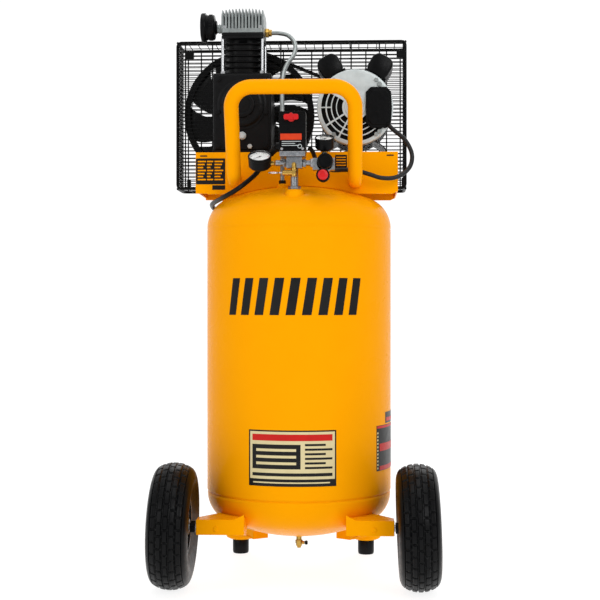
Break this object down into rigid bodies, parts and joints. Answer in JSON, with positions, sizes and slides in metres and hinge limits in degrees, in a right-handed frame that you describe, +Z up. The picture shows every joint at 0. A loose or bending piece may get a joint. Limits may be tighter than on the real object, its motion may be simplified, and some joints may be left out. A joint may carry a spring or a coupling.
{
  "type": "vertical tank compressor",
  "caption": "Upright air receiver on wheels and feet with a belt-driven pump and motor on a deck, wire guard, bent tube handle, pressure switch, regulator and gauges.",
  "frame": {"origin": "on the floor under the centre of the machine's footprint", "axes": "+Z up, -Y towards the handle and controls, +X to the right seen from the front"},
  "size_m": [0.6538, 0.5932, 1.257],
  "materials": {
    "yellow_paint": "gloss yellow enamel",
    "black_paint": "satin black enamel",
    "cast_iron": "black painted casting",
    "aluminium": "as-cast aluminium",
    "bell_aluminium": "light grey satin aluminium",
    "zinc": "zinc plated",
    "brass": "turned brass",
    "steel": "bright steel",
    "tyre_rubber": "matte black tread rubber",
    "rubber": "satin black rubber",
    "black_plastic": "satin black plastic",
    "red_plastic": "gloss red plastic"
  },
  "bodies": {
    "frame": {"air_tank": "yellow_paint", "drain_valve": "brass", "deck_plate": "yellow_paint", "handle_tube": "yellow_paint", "wheel_bracket_left": "yellow_paint", "wheel_bracket_right": "yellow_paint", "foot_bracket_left": "yellow_paint", "foot_bracket_right": "yellow_paint", "rubber_foot_left": "rubber", "rubber_foot_right": "rubber", "axle_bolt_left": "steel", "axle_bolt_right": "steel", "crankcase": "cast_iron", "crankcase_cover": "cast_iron", "cylinder_barrel": "cast_iron", "valve_plate": "cast_iron", "cylinder_head": "aluminium", "air_filter": "black_plastic", "filter_elbow": "aluminium", "discharge_fitting": "brass", "discharge_tube": "aluminium", "motor_shell": "black_paint", "motor_front_bell": "bell_aluminium", "motor_base": "black_paint", "capacitor_cover_left": "black_plastic", "capacitor_cover_right": "black_plastic", "terminal_cover": "black_plastic", "motor_lead": "rubber", "drive_belt": "rubber", "guard_front": "black_paint", "guard_back": "black_paint", "switch_base": "zinc", "switch_cover": "black_plastic", "strain_relief": "rubber", "manifold": "zinc", "safety_valve": "brass", "tank_gauge": "black_plastic", "regulator_body": "zinc", "regulator_gauge": "black_plastic", "quick_coupler": "black_plastic", "power_cord": "rubber", "cord_hank": "rubber", "power_plug": "rubber"},
    "wheel_left": {"tyre_left": "tyre_rubber", "wheel_rim_left": "black_paint"},
    "wheel_right": {"tyre_right": "tyre_rubber", "wheel_rim_right": "black_paint"},
    "crank": {"crankshaft": "steel", "flywheel": "black_paint"},
    "rotor": {"motor_rotor": "steel", "motor_pulley": "black_paint"},
    "piston_group": {"piston": "aluminium", "connecting_rod": "aluminium"},
    "drain_key": {"drain_handle": "black_plastic"},
    "switch_key": {"switch_lever": "red_plastic"},
    "relief_ring": {"safety_ring": "steel"},
    "tank_needle": {"tank_gauge_needle": "black_plastic"},
    "regulator_needle": {"regulator_gauge_needle": "black_plastic"},
    "pressure_knob": {"regulator_knob": "black_plastic"},
    "dust_cap": {"coupler_cap": "red_plastic"}
  },
  "joints": [
    {"name": "wheel_left_spin", "type": "hinge", "parent": "frame", "child": "wheel_left", "pos_m": [-0.2565, -0.164, 0.13252], "axis": [0.9994, 0, -0.0349], "continuous": true},
    {"name": "wheel_right_spin", "type": "hinge", "parent": "frame", "child": "wheel_right", "pos_m": [0.2565, -0.164, 0.13252], "axis": [0.9994, 0, 0.0349], "continuous": true},
    {"name": "crank_spin", "type": "hinge", "parent": "frame", "child": "crank", "pos_m": [-0.1262, 0.2, 1.0425], "axis": [0, 1, 0], "continuous": true},
    {"name": "motor_spin", "type": "hinge", "parent": "frame", "child": "rotor", "pos_m": [0.1246, 0.2, 1.0295], "axis": [0, 1, 0], "continuous": true},
    {"name": "piston_slide", "type": "slide", "parent": "frame", "child": "piston_group", "axis": [0, 0, 1], "range_m": [-0.022, 0.022]},
    {"name": "drain_turn", "type": "hinge", "parent": "frame", "child": "drain_key", "pos_m": [0.0129, 0.016, 0.0672], "axis": [1, 0, 0], "range_deg": [0, 90]},
    {"name": "switch_turn", "type": "hinge", "parent": "frame", "child": "switch_key", "pos_m": [-0.0081, -0.1694, 0.986], "axis": [0, 1, 0], "range_deg": [0, 40]},
    {"name": "relief_pull", "type": "slide", "parent": "frame", "child": "relief_ring", "axis": [-1, 0, 0], "range_m": [0, 0.005], "stiffness_N_per_m": 1500},
    {"name": "tank_needle_turn", "type": "hinge", "parent": "frame", "child": "tank_needle", "pos_m": [-0.076, -0.14337, 0.9071], "axis": [0, -0.5592, 0.829], "range_deg": [-250, 0]},
    {"name": "regulator_needle_turn", "type": "hinge", "parent": "frame", "child": "regulator_needle", "pos_m": [0.0605, -0.13701, 0.94474], "axis": [0, -0.4226, 0.9063], "range_deg": [-250, 0]},
    {"name": "pressure_turn", "type": "hinge", "parent": "frame", "child": "pressure_knob", "pos_m": [0.0625, -0.1535, 0.8965], "axis": [0, -1, 0], "range_deg": [-360, 360]},
    {"name": "cap_pull", "type": "slide", "parent": "frame", "child": "dust_cap", "axis": [0, -1, 0], "range_m": [0, 0.03]}
  ],
  "couplings": [
    {"joint": "motor_spin", "follows": "crank_spin", "ratio": 2.3178}
  ]
}
